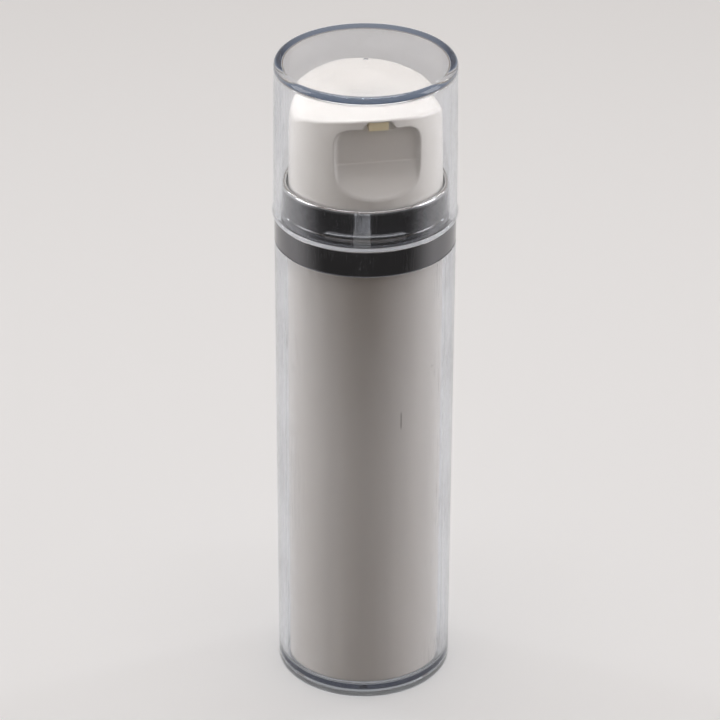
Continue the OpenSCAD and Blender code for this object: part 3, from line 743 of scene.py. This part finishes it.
def recess_form(x, y, z):
    """A rounded opening with a flat back that runs out over a fine ledge in a round scoop."""
    across = np.abs(x) - recess_half + recess_corner
    above = z - recess_top + recess_corner
    opening = (np.hypot(np.maximum(across, 0), np.maximum(above, 0))
               + np.minimum(np.maximum(across, above), 0) - recess_corner)
    below = np.clip((scoop_z + ledge - z) / (2 * ledge), 0, 1)
    scoop = np.hypot(y + recess_back + scoop_r, z - scoop_z) - scoop_r
    depth = np.where(z > scoop_z, y + recess_back, scoop) + ledge * below
    return both(opening, depth, scoop_round)


def notch_form(x, y, z):
    """A tapered slot over the recess, with the hole that the nozzle's tip comes through."""
    slope = (notch_half - notch_top_half) / (notch_top - recess_top)
    taper = np.maximum(z - recess_top, 0) * slope
    side = (np.abs(x) - notch_half + taper) / math.hypot(1, slope)
    slot = both(both(side, z - notch_top, notch_round), y + recess_back, notch_round)
    slot = np.maximum(slot, recess_top - slot_overlap - z)
    hole = np.maximum(np.abs(x) - tip_half, np.maximum(tip_low - z, z - tip_high))
    return np.minimum(slot, np.maximum(hole, np.maximum(y - duct_y, z - notch_top)))


def button_form(points):
    """The whole button: wall and top, less the dish, the recess and the notch."""
    x, y, z = points.T
    leaning = np.hypot(x, y) - wall_r + (z - skirt_z) * math.tan(wall_draft)
    body = both(leaning * math.cos(wall_draft), top_form(x, y, z), rim_round)
    dish_ball = (dish_r**2 + dish_depth**2) / (2 * dish_depth)
    above_dish = z - crest_z - dish_ball + dish_depth
    dish = np.sqrt(x**2 + (y - dish_back) ** 2 + above_dish**2) - dish_ball
    body = both(body, -dish, dish_round)
    body = both(body, -recess_form(x, y, z), mouth_round)
    body = both(body, -notch_form(x, y, z), notch_round)
    return np.maximum(body, skirt_z - z)


# %% Remesh a copy evenly
def remeshed_copy(node, name, voxel_mm):
    mesh = nodes[node].data.copy()
    work = bmesh.new()
    work.from_mesh(mesh)
    bmesh.ops.remove_doubles(work, verts=work.verts, dist=0.001 * MM)
    work.to_mesh(mesh)
    work.free()
    piece = new_piece(name, mesh)
    even = piece.modifiers.new("Even mesh", "REMESH")
    even.mode, even.voxel_size = "VOXEL", voxel_mm * MM
    return piece


button_white = glossy_white()
button = settle(remeshed_copy("button_shell", "button_white", voxel_mm=0.31), button_white, 180)


# %% Draw its outside onto the form
skin, stride, rounds = 0.55, 0.2, 12


def slope_of(form, points, reach=0.01):
    """The direction in which a form's distance grows, which is its normal."""
    steps = np.eye(3) * reach
    slope = np.stack([form(points + s) - form(points - s) for s in steps], axis=1)
    return slope / np.maximum(np.linalg.norm(slope, axis=1, keepdims=True), 1e-9)


points = np.empty(len(button.data.vertices) * 3)
button.data.vertices.foreach_get("co", points)
points = points.reshape(-1, 3) / MM
near = np.abs(button_form(points)) < skin
for _ in range(rounds):
    away = np.clip(button_form(points[near]), -stride, stride)
    points[near] -= away[:, None] * slope_of(button_form, points[near])
button.data.vertices.foreach_set("co", (points * MM).ravel())
button.data.update()
print("points drawn on:", int(near.sum()), "left off by mm:",
      round(float(np.percentile(np.abs(button_form(points[near])), 99)), 4))

# %% Give it the form's own normals
normals = np.array([v.normal for v in button.data.vertices])
normals[near] = slope_of(button_form, points[near])
button.data.normals_split_custom_set_from_vertices(normals)
print("normals set:", len(normals))
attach(button, "button")
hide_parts("button_shell")

# %% [markdown]
# ## The return spring
#
# The spring follows a path, a helix whose end coils lie close together. A tree winds it: a
# spiral gives the turns, its height is spread so that the first and last coil close up, and a
# small circle is swept along it as the wire. It is wound at the packed part's length; in the
# real pump it shortens as the button goes down.

# %% The tree that winds a spring
end_pitch = 2.1


def spring_tree():
    """The end coils climb by end_pitch wire radii, so they nearly touch."""
    tree, given = geometry_tree("Wind a spring", {
        "Coils": "Float", "Coil radius": "Float", "Wire radius": "Float", "Foot": "Float",
        "Length": "Float", "Material": "Material"})
    start = given["Geometry"]
    helix = start.node("GeometryNodeCurveSpiral", None, {
        "Resolution": 32, "Rotations": given["Coils"], "Start Radius": given["Coil radius"],
        "End Radius": given["Coil radius"], "Height": 1.0})
    axes = axes_of(start, start.node("GeometryNodeInputPosition"))
    wound = axes.other("Z") * given["Coils"]
    ends = given["Wire radius"] * end_pitch
    middle = (wound - 1).larger(0.0).smaller(given["Coils"] - 2)
    first = wound.smaller(1.0)
    last = (wound - given["Coils"] + 1).larger(0.0)
    open_length = given["Length"] - given["Wire radius"] * 2 - ends * 2
    z = (given["Foot"] + given["Wire radius"] + (first + last) * ends
         + middle / (given["Coils"] - 2) * open_length)
    place = start.node("ShaderNodeCombineXYZ", None, {"X": axes, "Y": axes.other("Y"), "Z": z})
    path = start.node("GeometryNodeSetPosition", None, {"Geometry": helix, "Position": place})
    wire = start.node("GeometryNodeCurvePrimitiveCircle", {"mode": "RADIUS"},
                      {"Resolution": 12, "Radius": given["Wire radius"]})
    swept = start.node("GeometryNodeCurveToMesh", None,
                       {"Curve": path, "Profile Curve": wire, "Fill Caps": True})
    end_tree(start.node("GeometryNodeSetShadeSmooth", None, {"Geometry": swept}), given)
    return tree


# %% Wind the spring
spring_lo, spring_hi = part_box("return_spring")
wire_r = 0.28 * MM
spring = new_piece("spring_coil", bpy.data.meshes.new("spring_coil"))
use_tree(spring, spring_tree(), Coils=5.0, Coil_radius=spring_hi.x - wire_r,
         Wire_radius=wire_r, Foot=spring_lo.z, Length=spring_hi.z - spring_lo.z,
         Material=steel)
settle(spring, steel)
measure(spring)
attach(spring, "bottle")
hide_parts("return_spring")
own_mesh(spring)

# %% [markdown]
# ## The pieces that the CAD shapes already
#
# The insert, the pump and the follower keep their CAD meshes, which point the right way and are
# exact. Only their material slots are filled.

# %% Dress the CAD nodes
dress = {"nozzle_insert": ivory, "pump_stem": natural, "piston_rod": natural,
         "pump_piston": sliding, "stem_guide": white_inside, "pump_body": natural,
         "inlet_ball": steel, "closure_plug": white_inside, "neck_gasket": rubber,
         "follower_piston": sliding}
for node, material in dress.items():
    mesh = nodes[node].data
    mesh.materials.clear()
    mesh.materials.append(material)
print("dressed:", len(dress))

# %% [markdown]
# ## The studio
#
# A product like this is lit from both sides by large soft boxes, so that bright bands run down
# the cup and the clear wall, with a softer box above for the dish. Thin strips draw the fine
# lines of light on the rims. A narrow card low in front draws one upright glint on the plating.
# Each lamp stands at a bearing from the camera, so the lighting can be read off like a plan.

# %% A lamp and its place
view_azimuth, view_elevation = -10, 29
bottle_middle = Vector((0, 0, 0.075))


def studio_place(bearing, distance, height):
    """A place round the bottle: -90 degrees is left in the picture, 90 is right."""
    turn = math.radians(view_azimuth + bearing)
    return Vector((math.sin(turn) * distance, -math.cos(turn) * distance, height))


def area_lamp(name, width, tall, watts, place, rotation, colour=(1, 1, 1)):
    """A rectangular lamp that the camera doesn't see."""
    lamp = bpy.data.lights.new(name, "AREA")
    lamp.shape = "RECTANGLE"
    lamp.size, lamp.size_y = width, tall
    lamp.energy, lamp.color = watts, colour
    holder = bpy.data.objects.new(name, lamp)
    holder.location, holder.rotation_euler = place, rotation
    holder.visible_camera = False
    bpy.context.scene.collection.objects.link(holder)
    print(name, "radiance:", round(watts / (math.pi * width * tall), 2))
    return holder


def soft_box(name, bearing, distance, height, width, tall, watts, colour=(1, 1, 1)):
    """A lamp that is turned to the middle of the bottle."""
    place = studio_place(bearing, distance, height)
    turned_in = (bottle_middle - place).to_track_quat("-Z", "Y").to_euler()
    return area_lamp(name, width, tall, watts, place, turned_in, colour)


# %% The soft boxes and strips
left_box = soft_box("left_box", bearing=-85.5, distance=0.45, height=0.22,
                    width=0.22, tall=0.46, watts=1.0, colour=(1.0, 0.97, 0.95))
right_box = soft_box("right_box", bearing=86, distance=0.45, height=0.22,
                     width=0.22, tall=0.46, watts=1.11, colour=(1.0, 0.97, 0.96))
soft_box("top_box", bearing=5, distance=-0.08, height=0.64,
         width=0.4, tall=0.4, watts=1.7, colour=(1.0, 0.98, 0.97))
soft_box("top_strip", bearing=5, distance=0.1, height=0.63, width=0.3, tall=0.008, watts=0.3)
for name, bearing in (("left_strip", -118), ("right_strip", 118)):
    soft_box(name, bearing, distance=0.5, height=0.36, width=0.03, tall=0.3, watts=0.35)

# %% The glint card, flat on the floor
card_bearing, card_near, card_far, card_lift = -4, 0.238, 0.252, 0.001
area_lamp("glint_card", width=0.09, tall=card_far - card_near, watts=0.004,
          place=studio_place(card_bearing, (card_near + card_far) / 2, card_lift),
          rotation=(math.pi, 0, math.radians(view_azimuth + card_bearing)))


# %% [markdown]
# ### The floor
#
# The floor is a wide sheet of pale paper. The camera finds it pale, also in metal and through
# clear walls, while bounced light finds it dimmer, so the white pieces keep their shading. A
# share of what the camera finds is the paper's own glow, which keeps it even, and the lamps'
# share carries the bottle's soft shadow. The side boxes would draw bright spots and a sharp line
# on it, so they light everything but the floor.

# %% What the camera finds
def seen_directly(start):
    """1 for what the camera sees, also in metal and through glass, and 0 for bounced light."""
    light_path = start.node("ShaderNodeLightPath", out="Is Camera Ray")
    mirrored = light_path + light_path.other("Is Glossy Ray")
    seen = (mirrored + light_path.other("Is Transmission Ray")).clamp()
    return seen * light_path.math("LESS_THAN", light_path.other("Diffuse Depth"), 0.5)


# %% The floor
PALE, DIM, BLACK = (0.505, 0.517, 0.535, 1), (0.155, 0.13, 0.1, 1), (0, 0, 0, 1)
floor_glow = 0.66
floor_half = 6.0

floor_mesh = bpy.data.meshes.new("floor")
corners = [(x * floor_half, y * floor_half, 0) for x, y in ((-1, -1), (1, -1), (1, 1), (-1, 1))]
floor_mesh.from_pydata(corners, [], [(0, 1, 2, 3)])
floor = new_piece("floor", floor_mesh)
floor_paper, floor_surface, start = finish("floor_paper", PALE[:3], 0.85)
feed(floor_surface, Base_Color=seen_directly(start).mix(DIM, PALE),
     Emission_Color=seen_directly(start).mix(BLACK, PALE))
floor_surface.inputs["Emission Strength"].default_value = floor_glow
floor_mesh.materials.append(floor_paper)
print("floor in metres:", [round(v, 1) for v in floor.dimensions])

# %% Keep the side boxes off the floor
spared = bpy.data.collections.new("not_lit_from_the_sides")
spared.objects.link(floor)
spared.collection_objects[0].light_linking.link_state = "EXCLUDE"
for box in (left_box, right_box):
    box.light_linking.receiver_collection = spared

# %% [markdown]
# ### The black flag
#
# A photographer darkens bright metal with a flag, a black card that only the metal can see. Here
# it is a wide fan on the floor in front of the bottle. It is drawn only where a ray has already
# been mirrored, so the camera and the shadows never meet it, and it fades in with the distance
# from the bottle, so the plating shows no edge.

# %% The fan of the black flag
flag_near, flag_far, flag_lift = 0.1, 0.5, 0.0005
flag_reach, flag_steps = 115, 24

flag_mesh = bpy.data.meshes.new("black_flag")
flag_points = []
for i in range(flag_steps + 1):
    bearing = flag_reach * (2 * i / flag_steps - 1)
    flag_points += [studio_place(bearing, r, flag_lift) for r in (flag_near, flag_far)]
flag_mesh.from_pydata(flag_points, [], [(2 * i, 2 * i + 1, 2 * i + 3, 2 * i + 2)
                                        for i in range(flag_steps)])
flag = new_piece("black_flag", flag_mesh)
print("flag faces:", len(flag_mesh.polygons))

# %% The cloth of the black flag
flag_cloth = bpy.data.materials.new("flag_cloth")
flag_cloth.use_nodes = True
start = Wire(flag_cloth.node_tree)
where = start.node("ShaderNodeTexCoord", out="Object")
turned_back = mapped(start, where, turn=(0, 0, math.radians(-view_azimuth)))
ahead = axes_of(start, turned_back).other("Y")
reach = start.node("ShaderNodeVectorMath", {"operation": "LENGTH"}, {0: where}, out="Value")
mirrors = start.node("ShaderNodeLightPath", out="Glossy Depth").clamp()
black = (0 - ahead).step(-0.03, 0.15) * reach.step(0.1, 0.2) * mirrors * 0.88
cloth = start.node("ShaderNodeBsdfDiffuse", None, {"Color": (0.01, 0.01, 0.01, 1)})
nothing = start.node("ShaderNodeBsdfTransparent")
shown = mixed(start, black, nothing, cloth)
flag_cloth.node_tree.links.new(
    shown.socket, flag_cloth.node_tree.nodes["Material Output"].inputs["Surface"])
flag_mesh.materials.append(flag_cloth)
flag.visible_camera = flag.visible_diffuse = flag.visible_shadow = False
print("flag nodes:", len(flag_cloth.node_tree.nodes))

# %% [markdown]
# ### The world
#
# The world is the room round the floor. It fills the shadows dimly and warmly, shows the same
# pale colour as the floor low down in metal and clear walls, and is the plain backdrop behind
# the floor for the camera.

# %% The world
ROOM, BACKDROP = (0.295, 0.217, 0.15, 1), (0.66, 0.66, 0.66, 1)

world = bpy.data.worlds.new("studio")
bpy.context.scene.world = world
world.use_nodes = True
start = Wire(world.node_tree)
high = axes_of(start, start.node("ShaderNodeTexCoord", out="Generated")).other("Z")
seen = seen_directly(start) * (1 - 0.8 * high.step(0.05, 0.4))
camera_sees = start.node("ShaderNodeLightPath", out="Is Camera Ray")
sky = camera_sees.mix(seen.mix(ROOM, PALE), BACKDROP)
world.node_tree.links.new(sky.socket,
                          world.node_tree.nodes["Background"].inputs["Color"])
print("world nodes:", len(world.node_tree.nodes))

# %% [markdown]
# ## The camera
#
# The photograph looks down at 29 degrees from a little left of the nozzle, through a long lens.
# The lens, the distance and the small roll were solved from the ellipses of the foot and of the
# overcap's top.

# %% Camera
def aim(elevation, azimuth, distance, target, lens, roll):
    camera = bpy.data.objects.new("camera", bpy.data.cameras.new("camera"))
    camera.data.lens = lens
    camera.data.sensor_width = 36
    turn = (Matrix.Rotation(math.radians(azimuth), 4, "Z")
            @ Matrix.Rotation(math.radians(90 - elevation), 4, "X")
            @ Matrix.Rotation(math.radians(roll), 4, "Z"))
    camera.matrix_world = Matrix.Translation(
        Vector(target) + turn.to_3x3() @ Vector((0, 0, distance))) @ turn
    bpy.context.scene.collection.objects.link(camera)
    bpy.context.scene.camera = camera
    print("camera at", [round(v, 4) for v in camera.matrix_world.translation])


aim(view_elevation, view_azimuth, distance=0.837, target=(-0.001, 0.0002, 0.075),
    lens=193.5, roll=0.193)
bpy.context.scene.view_settings.view_transform = "Standard"

# %% [markdown]
# The dressed model must stay inside the CAD model's box.
